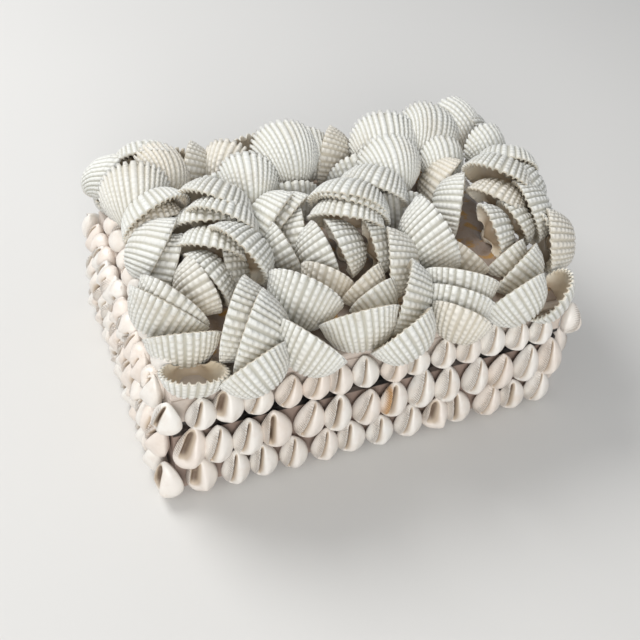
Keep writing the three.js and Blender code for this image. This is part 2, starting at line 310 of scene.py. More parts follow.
def noise(tree, vector, scale, detail=3.0, roughness=0.55):
    node = add_node(tree, "ShaderNodeTexNoise", {"Scale": scale, "Detail": detail, "Roughness": roughness})
    tree.links.new(vector, node.inputs["Vector"])
    return node.outputs["Fac"]


def object_place(tree):
    return tree.nodes.new("ShaderNodeTexCoord").outputs["Object"]


def attribute(tree, name):
    return add_node(tree, "ShaderNodeAttribute", attribute_name=name).outputs["Fac"]


def new_group(name, inputs, outputs):
    """A shader node group with named inputs (name, kind, default) and outputs (name, kind)."""
    group = bpy.data.node_groups.new(name, "ShaderNodeTree")
    for label, kind, default in inputs:
        socket = group.interface.new_socket(label, in_out="INPUT", socket_type=kind)
        socket.default_value = default
    for label, kind in outputs:
        group.interface.new_socket(label, in_out="OUTPUT", socket_type=kind)
    return group, group.nodes.new("NodeGroupInput"), group.nodes.new("NodeGroupOutput")


def grime_group():
    """Age on a surface: blotches of a second colour, and a fine uneven height for a Bump node."""
    group, into, out = new_group(
        "Age and grain",
        [("Colour", "NodeSocketColor", (1, 1, 1, 1)), ("Stain", "NodeSocketColor", (0.5, 0.4, 0.3, 1)),
         ("Amount", "NodeSocketFloat", 0.3), ("Blotch Scale", "NodeSocketFloat", 60.0),
         ("Grain Scale", "NodeSocketFloat", 1500.0)],
        [("Colour", "NodeSocketColor"), ("Height", "NodeSocketFloat")])
    place = object_place(group)
    blotch = add_node(group, "ShaderNodeTexNoise", {"Detail": 4.0, "Roughness": 0.6})
    grain = add_node(group, "ShaderNodeTexNoise", {"Detail": 3.0, "Roughness": 0.6})
    for node, scale in ((blotch, "Blotch Scale"), (grain, "Grain Scale")):
        group.links.new(place, node.inputs["Vector"])
        group.links.new(into.outputs[scale], node.inputs["Scale"])
    mask = span(group, blotch.outputs["Fac"], 0.45, 0.72)
    share = math_node(group, "MULTIPLY", mask, into.outputs["Amount"], clamp=True)
    colour = mix_colour(group, share, into.outputs["Colour"], into.outputs["Stain"])
    group.links.new(colour, out.inputs["Colour"])
    group.links.new(grain.outputs["Fac"], out.inputs["Height"])
    return group


def aged(tree, colour, stain, amount, blotch, grain):
    """The Age and grain group placed in a material, with its own values."""
    node = add_node(tree, "ShaderNodeGroup")
    node.node_tree = bpy.data.node_groups.get("Age and grain") or grime_group()
    if isinstance(colour, bpy.types.NodeSocket):
        tree.links.new(colour, node.inputs["Colour"])
    else:
        node.inputs["Colour"].default_value = (*colour, 1.0)
    node.inputs["Stain"].default_value = (*stain, 1.0)
    node.inputs["Amount"].default_value = amount
    node.inputs["Blotch Scale"].default_value = blotch
    node.inputs["Grain Scale"].default_value = grain
    return node


def new_material(name, roughness, **shader_values):
    material = bpy.data.materials.new(name)
    material.use_nodes = True
    tree = material.node_tree
    shader = tree.nodes["Principled BSDF"]
    shader.inputs["Roughness"].default_value = roughness
    for key, value in shader_values.items():
        shader.inputs[key.replace("_", " ")].default_value = value
    return material, tree, shader


def bump(tree, shader, height, depth, strength=1.0, under=None):
    node = add_node(tree, "ShaderNodeBump", {"Strength": strength, "Distance": depth})
    tree.links.new(height, node.inputs["Height"])
    if under is not None:
        tree.links.new(under, node.inputs["Normal"])
    tree.links.new(node.outputs["Normal"], shader.inputs["Normal"])
    return node.outputs["Normal"]


# ---------------------------------------------------------------- materials

def ribbed_shell_material(colours):
    """White cockle: pale ribs with beads, valleys painted darker grey as shade, growth bands, a warm beak, a
    tan inside.
    """
    material, tree, shader = new_material("ribbed_shell_white", 0.52)
    links = tree.links
    uv = tree.nodes.new("ShaderNodeUVMap")
    uv.uv_map = "growth"
    parts = tree.nodes.new("ShaderNodeSeparateXYZ")
    links.new(uv.outputs[0], parts.inputs[0])
    across, along = parts.outputs[0], parts.outputs[1]
    crest = attribute(tree, "crest")
    inner = attribute(tree, "inner")
    tone = attribute(tree, "tone")
    place = object_place(tree)
    # Growth bands lie at one distance from the beak, so they run round the valve.
    band_place = add_node(tree, "ShaderNodeCombineXYZ")
    links.new(along, band_place.inputs[0])
    links.new(tone, band_place.inputs[1])
    bands = noise(tree, band_place.outputs[0], 1.6, 4.0, 0.7)
    # Painted shade: the valleys between the ribs are darkened towards a grey, standing in for the shade in
    # them.
    valley = math_node(tree, "SUBTRACT", 1.0, crest)
    outside = mix_colour(tree, math_node(tree, "MULTIPLY", valley, 0.85), colours.valve, colours.valve_valley_shade)
    outside = mix_colour(tree, span(tree, bands, 0.5, 0.75, 0.0, 0.30), outside, (0.62, 0.57, 0.46))
    beak = span(tree, along, 9.0, 2.0, 0.0, 0.42)
    outside = mix_colour(tree, beak, outside, (0.66, 0.50, 0.33))
    outside = mix_colour(tree, span(tree, tone, 0.72, 1.0, 0.0, 0.35), outside, (0.78, 0.66, 0.50))
    blotches = noise(tree, place, 90.0, 4.0)
    inside = mix_colour(tree, span(tree, blotches, 0.35, 0.65), colours.valve_inside, (0.82, 0.77, 0.67))
    inside = mix_colour(tree, span(tree, along, 17.0, 5.0, 0.0, 0.55), inside, (0.50, 0.36, 0.23))
    colour = mix_colour(tree, inner, outside, inside)
    age = aged(tree, colour, (0.50, 0.42, 0.30), 0.22, 70.0, 2400.0)
    links.new(age.outputs["Colour"], shader.inputs["Base Color"])
    rough = span(tree, inner, 0.0, 1.0, 0.55, 0.30)
    links.new(rough, shader.inputs["Roughness"])
    # Beads on the ribs, staggered from rib to rib, and fine growth lines.
    lines = add_node(tree, "ShaderNodeTexWave", {"Scale": 1.0, "Distortion": 1.2, "Detail": 2.0,
                                                 "Detail Scale": 1.0}, wave_type="BANDS", bands_direction="Y")
    links.new(uv.outputs[0], lines.inputs["Vector"])
    stagger = math_node(tree, "MULTIPLY", math_node(tree, "FLOOR", across), 2.4)
    phase = math_node(tree, "ADD", math_node(tree, "MULTIPLY", along, 2 * math.pi / 1.15), stagger)
    beads = math_node(tree, "MULTIPLY", math_node(tree, "SINE", phase), crest)
    outer = math_node(tree, "SUBTRACT", 1.0, inner)
    first = bump(tree, shader, math_node(tree, "MULTIPLY", beads, outer), 0.00026, 0.6)
    second = bump(tree, shader, math_node(tree, "MULTIPLY", lines.outputs["Fac"], outer), 0.00010, 0.5, first)
    bump(tree, shader, age.outputs["Height"], 0.00006, 0.5, second)
    return material


def small_shell_material(colours):
    """Porcelain white with a toothed outer lip and now and then a stained one; the slit and the gaps between
    the teeth are painted darker as shade.
    """
    material, tree, shader = new_material("small_shell_white", 0.34, Coat_Weight=0.25, Coat_Roughness=0.25)
    links = tree.links
    slit = attribute(tree, "slit")
    lip = attribute(tree, "lip")
    tone = attribute(tree, "tone")
    stain = attribute(tree, "stain")
    place = object_place(tree)
    blotches = noise(tree, place, 160.0, 4.0)
    white = mix_colour(tree, span(tree, tone, 0.55, 1.0, 0.0, 0.55), colours.small, (0.82, 0.70, 0.61))
    white = mix_colour(tree, span(tree, tone, 0.42, 0.0, 0.0, 0.5), white, (0.88, 0.87, 0.83))
    white = mix_colour(tree, span(tree, blotches, 0.5, 0.75, 0.0, 0.30), white, (0.70, 0.58, 0.47))
    rim = mix_colour(tree, math_node(tree, "MULTIPLY", stain, lip), white, (0.70, 0.36, 0.11))
    # Painted shade: from the slit's edges the colour darkens through tan to near black, standing in for the
    # shade inside the opening.
    edge = span(tree, slit, 0.03, 0.35, 0.0, 0.8)
    colour = mix_colour(tree, edge, rim, (0.52, 0.41, 0.29))
    colour = mix_colour(tree, span(tree, slit, 0.35, 0.95), colour, colours.small_slit_shade)
    uv = tree.nodes.new("ShaderNodeUVMap")
    uv.uv_map = "growth"
    parts = tree.nodes.new("ShaderNodeSeparateXYZ")
    links.new(uv.outputs[0], parts.inputs[0])
    teeth = math_node(tree, "SINE", math_node(tree, "MULTIPLY", parts.outputs[1], 2 * math.pi / 0.75))
    # Painted shade: darker lines between the teeth of the outer lip.
    between = math_node(tree, "MULTIPLY", span(tree, teeth, 0.1, -0.9, 0.0, 0.55), lip)
    colour = mix_colour(tree, between, colour, (0.50, 0.38, 0.26))
    age = aged(tree, colour, (0.62, 0.50, 0.40), 0.20, 220.0, 2600.0)
    links.new(age.outputs["Colour"], shader.inputs["Base Color"])
    links.new(span(tree, slit, 0.1, 0.6, 0.34, 0.7), shader.inputs["Roughness"])
    first = bump(tree, shader, math_node(tree, "MULTIPLY", teeth, lip), 0.00030, 0.9)
    lines = add_node(tree, "ShaderNodeTexWave", {"Scale": 1.6, "Distortion": 2.5, "Detail": 2.0},
                     wave_type="BANDS", bands_direction="X")
    links.new(uv.outputs[0], lines.inputs["Vector"])
    second = bump(tree, shader, lines.outputs["Fac"], 0.00005, 0.35, first)
    bump(tree, shader, age.outputs["Height"], 0.00007, 0.5, second)
    return material


def paper_material(name, colour, rubbed, painted_gap_shadow=None):
    """Paper over board, a little rubbed and uneven, with the shadow in the gap between lid and base painted
    near black between two heights.
    """
    material, tree, shader = new_material(name, 0.62)
    place = object_place(tree)
    cloudy = noise(tree, place, 45.0, 5.0)
    colour = mix_colour(tree, span(tree, cloudy, 0.35, 0.7, 0.0, 0.6), colour, rubbed)
    # Painted shadow: near black between the two heights, standing in for the shade in the gap between lid and
    # base.
    if painted_gap_shadow:
        axes = tree.nodes.new("ShaderNodeSeparateXYZ")
        tree.links.new(place, axes.inputs[0])
        low, high = painted_gap_shadow
        above = span(tree, axes.outputs[2], low - 0.3 * MM, low + 0.3 * MM)
        below = span(tree, axes.outputs[2], high + 0.3 * MM, high - 0.3 * MM)
        gap_shadow_mask = math_node(tree, "MULTIPLY", above, below)
        colour = mix_colour(tree, gap_shadow_mask, colour, (0.006, 0.005, 0.005))
    age = aged(tree, colour, tuple(0.6 * c for c in rubbed), 0.30, 120.0, 1800.0)
    tree.links.new(age.outputs["Colour"], shader.inputs["Base Color"])
    tree.links.new(span(tree, cloudy, 0.3, 0.7, 0.5, 0.72), shader.inputs["Roughness"])
    bump(tree, shader, age.outputs["Height"], 0.00012, 0.6)
    return material


# The base's covering: painted shade, a darker copy of the lid's paper.
def shaded_cover_material(colours):
    return paper_material("covering_paper_shaded", colours.cover_in_shade, (0.44, 0.34, 0.285), GAP_SHADOW_HEIGHTS)


# The lid's covering: painted light, a paler copy of the base's covering.
def lit_lid_material(colours):
    return paper_material("lid_paper_lit", colours.lid, (0.72, 0.65, 0.58), GAP_SHADOW_HEIGHTS)


# The neck boards' lining, near black as painted shade in the gap between lid and base.
def gap_shade_lining_material(colours):
    material, tree, shader = new_material("lining_board", 0.85)
    age = aged(tree, colours.lining, (0.12, 0.09, 0.07), 0.5, 90.0, 1500.0)
    tree.links.new(age.outputs["Colour"], shader.inputs["Base Color"])
    bump(tree, shader, age.outputs["Height"], 0.00015, 0.6)
    return material


def glue_material(colours):
    """Old amber glue: glossy, cloudy and paler where it is thin."""
    material, tree, shader = new_material("amber_glue", 0.42, Coat_Weight=0.2, Coat_Roughness=0.2)
    place = object_place(tree)
    cloudy = noise(tree, place, 140.0, 4.0)
    colour = mix_colour(tree, span(tree, cloudy, 0.36, 0.46), colours.glue, (0.34, 0.275, 0.235))
    age = aged(tree, colour, (0.20, 0.11, 0.04), 0.35, 260.0, 900.0)
    tree.links.new(age.outputs["Colour"], shader.inputs["Base Color"])
    bump(tree, shader, age.outputs["Height"], 0.0004, 0.7)
    return material


def floor_material(colours):
    material, tree, shader = new_material("studio_floor", 0.75)
    place = object_place(tree)
    faint = noise(tree, place, 3.0, 2.0)
    warm = tuple(0.97 * c for c in colours.floor)
    colour = mix_colour(tree, span(tree, faint, 0.3, 0.7), colours.floor, warm)
    tree.links.new(colour, shader.inputs["Base Color"])
    return material


def material_named(name):
    makers = {"ribbed_shell_white": ribbed_shell_material, "small_shell_white": small_shell_material,
              "covering_paper_shaded": shaded_cover_material, "lid_paper_lit": lit_lid_material,
              "lining_board": gap_shade_lining_material,
              "amber_glue": glue_material, "studio_floor": floor_material}
    return bpy.data.materials.get(name) or makers[name](bpy.context.scene.shell_box_colours)


# ---------------------------------------------------------------- mesh tools

def new_object(name, vertices, faces, values=None, uv=None, smooth=True):
    """A mesh object at the origin. values holds one number per vertex for each attribute."""
    mesh = bpy.data.meshes.new(name)
    mesh.from_pydata([tuple(v) for v in vertices], [], [tuple(f) for f in faces])
    for label, numbers in (values or {}).items():
        layer = mesh.attributes.new(label, "FLOAT", "POINT")
        layer.data.foreach_set("value", np.asarray(numbers, dtype=np.float32))
    if uv is not None:
        layer = mesh.uv_layers.new(name="growth")
        corners = np.zeros(len(mesh.loops), dtype=np.int32)
        mesh.loops.foreach_get("vertex_index", corners)
        layer.data.foreach_set("uv", np.asarray(uv, dtype=np.float32)[corners].ravel())
    if smooth:
        mesh.polygons.foreach_set("use_smooth", [True] * len(mesh.polygons))
    mesh.update()
    mesh.validate()
    piece = bpy.data.objects.new(name, mesh)
    bpy.context.scene.collection.objects.link(piece)
    return piece


def facing_out(vertices, faces):
    """The faces, turned over if their volume comes out negative."""
    v = np.asarray(vertices)
    volume = 0.0
    for f in faces:
        a = v[f[0]]
        for b, c in zip(f[1:-1], f[2:]):
            volume += np.dot(a, np.cross(v[b], v[c]))
    return faces if volume > 0 else [tuple(reversed(f)) for f in faces]


def settle(piece, replaced=()):
    """Says where a finished piece belongs."""
    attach(piece, BODY)
    if replaced:
        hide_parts(*replaced)
    return piece


# ---------------------------------------------------------------- ribbed valves

HINGE = math.radians(148)  # how far round from the lip's middle the outline runs, to the hinge
VALVE_HEIGHT = 0.84  # height of a valve as a share of its width
RIB_CORNERS = (-0.23, 0.23, 0.41, 0.59)  # places across one rib: its rounded top, then the valley
RIB_TOPS = (1.0, 1.0, 0.12, 0.12)
BEAK_SHARE = 0.13  # the smallest growth ring that is modelled
SHOULDER = 0.86  # below 1 the outline is squarer at its shoulders
CURLS = (1.55, 1.85)  # how strongly valves roll in towards the beak, least and most
LIP_ZIGZAG = 0.040  # how far the teeth of the lip stand out, as a share of its distance from the beak
FULLNESS = 0.62  # how much wider than a plain cone a valve is between beak and lip
BULGE = 0.05  # how far a valve is blown out between beak and lip, as a share of its width


def valve_base(width, shares, angles, curl, skew):
    """Points of a valve's surface: rows are growth rings, columns are rays from the beak."""
    s = shares[:, None]
    side = np.sign(angles) * np.abs(np.sin(angles)) ** SHOULDER
    x = s * (1 + FULLNESS * (1 - s)) * width / 2 * side[None, :]
    y = s * width * VALVE_HEIGHT * (0.47 + 0.53 * np.cos(angles))[None, :]
    roll = -curl * np.log(s)
    bulge = BULGE * width * 4 * s * (1 - s)
    return np.stack([x + skew * y * s, y * np.cos(roll), y * np.sin(roll) + bulge], axis=-1)


def surface_normals(points):
    """Unit normals of a grid of points, pointing to the side of +Z at the lip."""
    down = np.gradient(points, axis=0)
    round_ = np.gradient(points, axis=1)
    normals = np.cross(round_, down)
    length = np.linalg.norm(normals, axis=-1, keepdims=True)
    normals = normals / np.maximum(length, 1e-12)
    return normals if normals[-1, points.shape[1] // 2, 2] > 0 else -normals


def valve_mesh(width, sizes, luck):
    """One valve as vertices, faces, UVs and attributes, hinge at the origin, lip towards +Y."""
    ribs = max(14, round(width * 1.72 / sizes.rib_pitch))
    rays = [(k + place) / ribs for k in range(ribs) for place in RIB_CORNERS][1:]
    rays.append(1.0 - RIB_CORNERS[1] / ribs)
    tops = (RIB_TOPS * ribs)[1:] + (1.0,)
    rays = np.clip(np.array(rays), 0.0, 1.0)
    crest = np.array(tops)
    angles = HINGE * (2 * rays - 1)
    count = sizes.valve_rings
    shares = 1 - (1 - BEAK_SHARE) * (np.linspace(0, 1, count) ** 1.25)
    shares = shares[::-1]
    base = valve_base(width, shares, angles, luck.uniform(*CURLS), luck.uniform(-0.08, 0.08))
    normals = surface_normals(base)
    growth = np.clip((shares - BEAK_SHARE) / 0.45, 0, 1)[:, None, None]
    step = 0.10 * MM * np.sin(shares * luck.uniform(30, 50))[:, None, None]
    relief = sizes.rib_relief * (width / 0.027) * (0.15 + 0.85 * growth) * shares[:, None, None] ** 0.6
    outer = base + normals * (relief * (crest[None, :, None] - 0.5) + step)
    rim = (1.0 + LIP_ZIGZAG * (crest - 0.5))[:, None]
    outer[-1] = outer[-1] * rim
    wall = sizes.valve_wall * (0.5 + 0.5 * shares)[:, None, None]
    near_lip = np.clip((shares - 0.84) / 0.16, 0, 1)[:, None, None]
    inner = base - normals * wall + normals * relief * near_lip * (crest[None, :, None] - 0.5)
    inner[-1] = inner[-1] * rim
    rows, columns = len(shares), len(angles)
    vertices = np.concatenate([outer.reshape(-1, 3), inner.reshape(-1, 3)])
    beaks = np.stack([outer[0].mean(axis=0), inner[0].mean(axis=0)])
    vertices = np.concatenate([vertices, beaks])
    half = rows * columns
    faces = []
    for j in range(rows - 1):
        for i in range(columns - 1):
            a = j * columns + i
            b, c, d = a + 1, a + columns + 1, a + columns
            faces.append((a, b, c, d))
            faces.append((half + d, half + c, half + b, half + a))
    lip = (rows - 1) * columns
    for i in range(columns - 1):
        faces.append((lip + i, lip + i + 1, half + lip + i + 1, half + lip + i))
        faces.append((2 * half, i + 1, i))
        faces.append((half + i, half + i + 1, 2 * half + 1))
    last = columns - 1
    for j in range(rows - 1):
        a, b = j * columns, (j + 1) * columns
        faces.append((a, b, half + b, half + a))
        faces.append((b + last, a + last, half + a + last, half + b + last))
    faces.append((2 * half, 0, half, 2 * half + 1))
    faces.append((last, 2 * half, 2 * half + 1, half + last))
    along = np.repeat(shares * width * VALVE_HEIGHT / MM, columns)
    across = np.tile(rays * ribs + 0.5, rows)
    uv = np.stack([across, along], axis=-1)
    uv = np.concatenate([uv, uv, uv[:1], uv[:1]])
    values = {
        "crest": np.concatenate([np.tile(crest, rows), np.tile(crest, rows) * 0, [0.5, 0]]),
        "inner": np.concatenate([np.zeros(half), np.ones(half), [0, 1]]),
        "tone": np.full(2 * half + 2, luck.random()),
    }
    return vertices, facing_out(vertices, faces), uv, values


def valve_place(x, y, rise, bearing, lean, roll, width):
    """The matrix that stands a valve in its rose, in metres."""
    bearing, lean, roll = (math.radians(a) for a in (bearing, lean, roll))
    out = Vector((math.cos(bearing), math.sin(bearing), 0))
    up = Vector((0, 0, 1))
    lip = up * math.cos(lean) + out * math.sin(lean)
    back = out * math.cos(lean) - up * math.sin(lean)
    turn = Matrix((lip.cross(back), lip, back)).transposed().to_4x4()
    hinge = Matrix.Translation((0, -width * MM * VALVE_HEIGHT, 0))
    crest = Matrix.Translation((x * MM, y * MM, LID_TOP + rise * MM))
    return crest @ turn @ Matrix.Rotation(roll, 4, "Z") @ hinge


def build_rose(name, rows, sizes):
    luck = random.Random(name)
    vertices, faces, uvs, values = [], [], [], {"crest": [], "inner": [], "tone": []}
    start = 0
    for row in rows:
        points, corners, uv, numbers = valve_mesh(row[-1] * MM, sizes, luck)
        place = np.array(valve_place(*row))
        vertices.append(points @ place[:3, :3].T + place[:3, 3])
        faces.extend(tuple(c + start for c in f) for f in corners)
        uvs.append(uv)
        for label in values:
            values[label].append(numbers[label])
        start += len(points)
    values = {label: np.concatenate(parts) for label, parts in values.items()}
    piece = new_object(f"{name}_petals", np.concatenate(vertices), faces, values, np.concatenate(uvs))
    piece.data.materials.append(material_named("ribbed_shell_white"))
    return settle(piece, (name,))


def build_rose_glue(name, rows, sizes):
    """The heap of glue under a rose: a low uneven mound, hollowed a little in the middle."""
    luck = random.Random(name + "glue")
    beaks = np.array([(valve_place(*row) @ Vector((0, 0, 0))) for row in rows])
    middle = beaks[:, :2].mean(axis=0)
    reach = np.maximum(np.abs(beaks[:, :2] - middle).max(axis=0) + 1 * MM, 12 * MM)
    limit = np.array([BOX_HIGH.x, BOX_HIGH.y]) - 2.5 * MM
    rings, spokes = 10, 48
    waves = [(luck.randint(2, 7), luck.uniform(0, 6.28), luck.uniform(0.02, 0.07)) for _ in range(6)]
    vertices = []
    for k in range(1, rings + 1):
        share = k / rings
        for i in range(spokes):
            a = 2 * math.pi * i / spokes
            wobble = 1 + sum(h * math.sin(n * a + p) for n, p, h in waves) * share
            spot = middle + reach * share * wobble * np.array((math.cos(a), math.sin(a)))
            spot = np.clip(spot, -limit, limit)
            mound = (1 - share ** 2.2) * (0.78 + 0.22 * math.sin(5 * share + 3 * a))
            height = sizes.glue_height * max(mound, 0.0) + 0.15 * MM
            vertices.append((*spot, LID_TOP + height))
    vertices.append((*middle, LID_TOP + sizes.glue_height * 0.7))
    flat = [(v[0], v[1], LID_TOP + 0.02 * MM) for v in vertices[(rings - 1) * spokes:rings * spokes]]
    top, foot = rings * spokes, rings * spokes + 1
    vertices += flat + [(*middle, LID_TOP + 0.02 * MM)]
    faces = []
    for i in range(spokes):
        j = (i + 1) % spokes
        faces.append((top, i, j))
        for k in range(rings - 1):
            faces.append((k * spokes + i, (k + 1) * spokes + i, (k + 1) * spokes + j, k * spokes + j))
        rim = (rings - 1) * spokes
        faces.append((rim + i, foot + i, foot + j, rim + j))
        faces.append((foot + i, foot + spokes, foot + j))
    piece = new_object(f"{name}_glue", vertices, facing_out(vertices, faces))
    piece.data.materials.append(material_named("amber_glue"))
    return settle(piece)


# ---------------------------------------------------------------- small shells

# Kinds of small shell: how open the slit is, its slant from the tip to the foot as shares of the
# width, where it ends above the foot, and how fat the body whorl on its right is.
SMALL_KINDS = (
    {"open": 1.0, "top": 0.04, "foot": -0.34, "end": 0.20, "whorl": 0.26},
    {"open": 0.8, "top": 0.08, "foot": -0.32, "end": 0.16, "whorl": 0.32},
    {"open": 1.4, "top": 0.00, "foot": -0.28, "end": 0.16, "whorl": 0.20},
    {"open": 2.4, "top": -0.06, "foot": -0.36, "end": 0.30, "whorl": 0.40},
    {"open": 0.9, "top": 0.12, "foot": -0.40, "end": 0.10, "whorl": 0.24},
)
SHELL_ROWS_UP = 25
OUTLINE, SWELL = (0.74, 0.46), (0.66, 0.40)  # how sharp and how blunt the teardrops of a shell are
FRONT_SHARE = 0.66  # the share of a small shell's thickness that stands in front of its edge
LIP_COLUMNS, SLIT_COLUMNS, BELLY_COLUMNS = 11, 8, 11
LIP_TEETH = 8  # teeth along the outer lip of a small shell


def teardrop(v, sharp, blunt):
    """Half-width of a teardrop at height v, from 0 at the foot to 1 at the point; widest is 1."""
    peak = blunt / (sharp + blunt)
    most = (1 - peak) ** sharp * peak ** blunt
    return (1 - v) ** sharp * v ** blunt / most


def small_shell_mesh(kind, sizes):
    """A shell of width, length and thickness 1, point up on +Z, its belly towards -Y."""
    share = 0.5 - 0.5 * np.cos(np.linspace(0, math.pi, SHELL_ROWS_UP + 2))[1:-1]
    half = sizes.slit_width * kind["open"]
    vertices, slit, lip, uv = [], [], [], []
    for v in share:
        edge = 0.5 * teardrop(v, *OUTLINE)
        depth = FRONT_SHARE * teardrop(v, *SWELL)
        window = np.clip((v - kind["end"]) / 0.16, 0, 1) * np.clip((0.97 - v) / 0.12, 0, 1)
        middle = kind["foot"] + (kind["top"] - kind["foot"]) * v - 0.05 * math.sin(math.pi * v)
        reach = min(half, 0.45 * edge)
        middle = float(np.clip(middle, -0.60 * edge, 0.5 * edge))
        left = -edge * np.cos(np.linspace(0, math.pi / 2, LIP_COLUMNS + 1)[:-1])
        left = left * (edge + middle - reach) / edge + (middle - reach)
        across = np.linspace(middle - reach, middle + reach, SLIT_COLUMNS + 1)
        right = np.sin(np.linspace(0, math.pi / 2, BELLY_COLUMNS + 1)[1:])
        right = middle + reach + right * (edge - middle - reach)
        x = np.concatenate([left, across, right])
        a = np.clip(np.abs(x) / edge, 0, 1)
        dome = np.sqrt(np.clip(1 - a ** 2.3, 0, 1))
        off = (x - middle) / reach
        groove = np.exp(-np.abs(off) ** 3 * 1.2) * window
        ridge = np.exp(-((x - (middle - reach - 0.075)) / 0.07) ** 2) * window
        cord = 1 + 0.25 * math.sin(2 * math.pi * v * LIP_TEETH)
        whorl = np.exp(-((x - middle - reach - 0.16) / 0.15) ** 2) * math.exp(-((v - 0.34) / 0.24) ** 2)
        deep = depth * dome * (1 + 0.34 * ridge * cord + kind["whorl"] * whorl)
        deep = deep - sizes.slit_depth * groove * dome * depth * 1.5
        vertices.extend(np.stack([x, -deep, np.full_like(x, v)], axis=-1))
        slit.extend(groove)
        lip.extend(np.clip(ridge * (x < middle), 0, 1))
        uv.extend(np.stack([x * 10, np.full_like(x, v * 14) + x * 4], axis=-1))
    columns = LIP_COLUMNS + SLIT_COLUMNS + 1 + BELLY_COLUMNS
    rows = SHELL_ROWS_UP
    front = rows * columns
    back_columns = 4
    for v in share:
        edge = 0.5 * teardrop(v, *OUTLINE)
        depth = (1 - FRONT_SHARE) * teardrop(v, *SWELL)
        for k in range(1, back_columns):
            a = 1 - 2 * k / back_columns
            vertices.append((a * edge, depth * math.sqrt(1 - a * a), v))
            slit.append(0)
            lip.append(0)
            uv.append((a * 5, v * 14))
    vertices += [(0, 0, 0), (0.02, 0, 1.0)]
    slit += [0, 0]
    lip += [0, 0]
    uv += [(0, 0), (0, 14)]
    foot, tip = len(vertices) - 2, len(vertices) - 1

    def loop(j):
        """The ring of corners round the shell at one height, from the left edge past the front."""
        ahead = [j * columns + i for i in range(columns)]
        behind = [front + j * (back_columns - 1) + k for k in range(back_columns - 1)]
        return ahead + behind

    faces = []
    around = columns + back_columns - 1
    for j in range(rows - 1):
        low, high = loop(j), loop(j + 1)
        for i in range(around):
            k = (i + 1) % around
            faces.append((low[i], low[k], high[k], high[i]))
    low, high = loop(0), loop(rows - 1)
    for i in range(around):
        k = (i + 1) % around
        faces.append((foot, low[k], low[i]))
        faces.append((tip, high[i], high[k]))
    vertices = np.array([tuple(v) for v in vertices])
    return vertices, facing_out(vertices, faces), np.array([tuple(p) for p in uv]), {"slit": slit, "lip": lip}


def small_shell_sources(sizes):
    """One mesh object for each kind of small shell, kept out of the scene."""
    sources = []
    for number, kind in enumerate(SMALL_KINDS):
        name = f"small_shell_kind_{number}"
        vertices, faces, uv, values = small_shell_mesh(kind, sizes)
        source = new_object(name, vertices, faces, values, uv)
        bpy.context.scene.collection.objects.unlink(source)
        sources.append(source)
    return sources


def row_tree(sources):
    """Geometry Nodes: a shell on every point of a row, picked, scaled and turned by the point's values."""
    tree = bpy.data.node_groups.new("Shells on a row", "GeometryNodeTree")
    face = tree.interface
    face.new_socket("Geometry", in_out="INPUT", socket_type="NodeSocketGeometry")
    size = face.new_socket("Shell Size", in_out="INPUT", socket_type="NodeSocketVector")
    size.default_value = (0.0106, 0.007, 0.0142)
    uneven = face.new_socket("Unevenness", in_out="INPUT", socket_type="NodeSocketFloat")
    uneven.default_value = 0.06
    seed = face.new_socket("Seed", in_out="INPUT", socket_type="NodeSocketInt")
    seed.default_value = 1
    coat = face.new_socket("Finish", in_out="INPUT", socket_type="NodeSocketMaterial")
    coat.default_value = material_named("small_shell_white")
    face.new_socket("Geometry", in_out="OUTPUT", socket_type="NodeSocketGeometry")
    into, out = tree.nodes.new("NodeGroupInput"), tree.nodes.new("NodeGroupOutput")
    links = tree.links

    kinds = tree.nodes.new("GeometryNodeGeometryToInstance")
    for source in reversed(sources):
        info = tree.nodes.new("GeometryNodeObjectInfo")
        info.inputs["Object"].default_value = source
        links.new(info.outputs["Geometry"], kinds.inputs[0])

    def stored(name, kind):
        node = add_node(tree, "GeometryNodeInputNamedAttribute", data_type=kind)
        node.inputs["Name"].default_value = name
        return node.outputs["Attribute"]

    place = tree.nodes.new("GeometryNodeInstanceOnPoints")
    place.inputs["Pick Instance"].default_value = True
    links.new(into.outputs["Geometry"], place.inputs["Points"])
    links.new(kinds.outputs[0], place.inputs["Instance"])
    links.new(stored("kind", "INT"), place.inputs["Instance Index"])
    links.new(stored("turn", "FLOAT_VECTOR"), place.inputs["Rotation"])
    jitter = add_node(tree, "FunctionNodeRandomValue", data_type="FLOAT_VECTOR")
    low = add_node(tree, "ShaderNodeMath", operation="SUBTRACT")
    high = add_node(tree, "ShaderNodeMath", operation="ADD")
    for node in (low, high):
        node.inputs[0].default_value = 1.0
        links.new(into.outputs["Unevenness"], node.inputs[1])
    links.new(low.outputs[0], jitter.inputs[0])
    links.new(high.outputs[0], jitter.inputs[1])
    links.new(into.outputs["Seed"], jitter.inputs["Seed"])
    scale = add_node(tree, "ShaderNodeVectorMath", operation="MULTIPLY")
    links.new(into.outputs["Shell Size"], scale.inputs[0])
    links.new(jitter.outputs[0], scale.inputs[1])
    links.new(scale.outputs[0], place.inputs["Scale"])
    whole = tree.nodes.new("GeometryNodeRealizeInstances")
    links.new(place.outputs[0], whole.inputs[0])
    finish = tree.nodes.new("GeometryNodeSetMaterial")
    links.new(whole.outputs[0], finish.inputs["Geometry"])
    links.new(into.outputs["Finish"], finish.inputs["Material"])
    links.new(finish.outputs[0], out.inputs[0])
    return tree


def set_input(modifier, name, value):
    """Sets a Geometry Nodes input by its socket's identifier."""
    for item in modifier.node_group.interface.items_tree:
        if item.item_type == "SOCKET" and item.in_out == "INPUT" and item.name == name:
            modifier[item.identifier] = value
            return
    raise ValueError(f"the tree has no input named {name}")


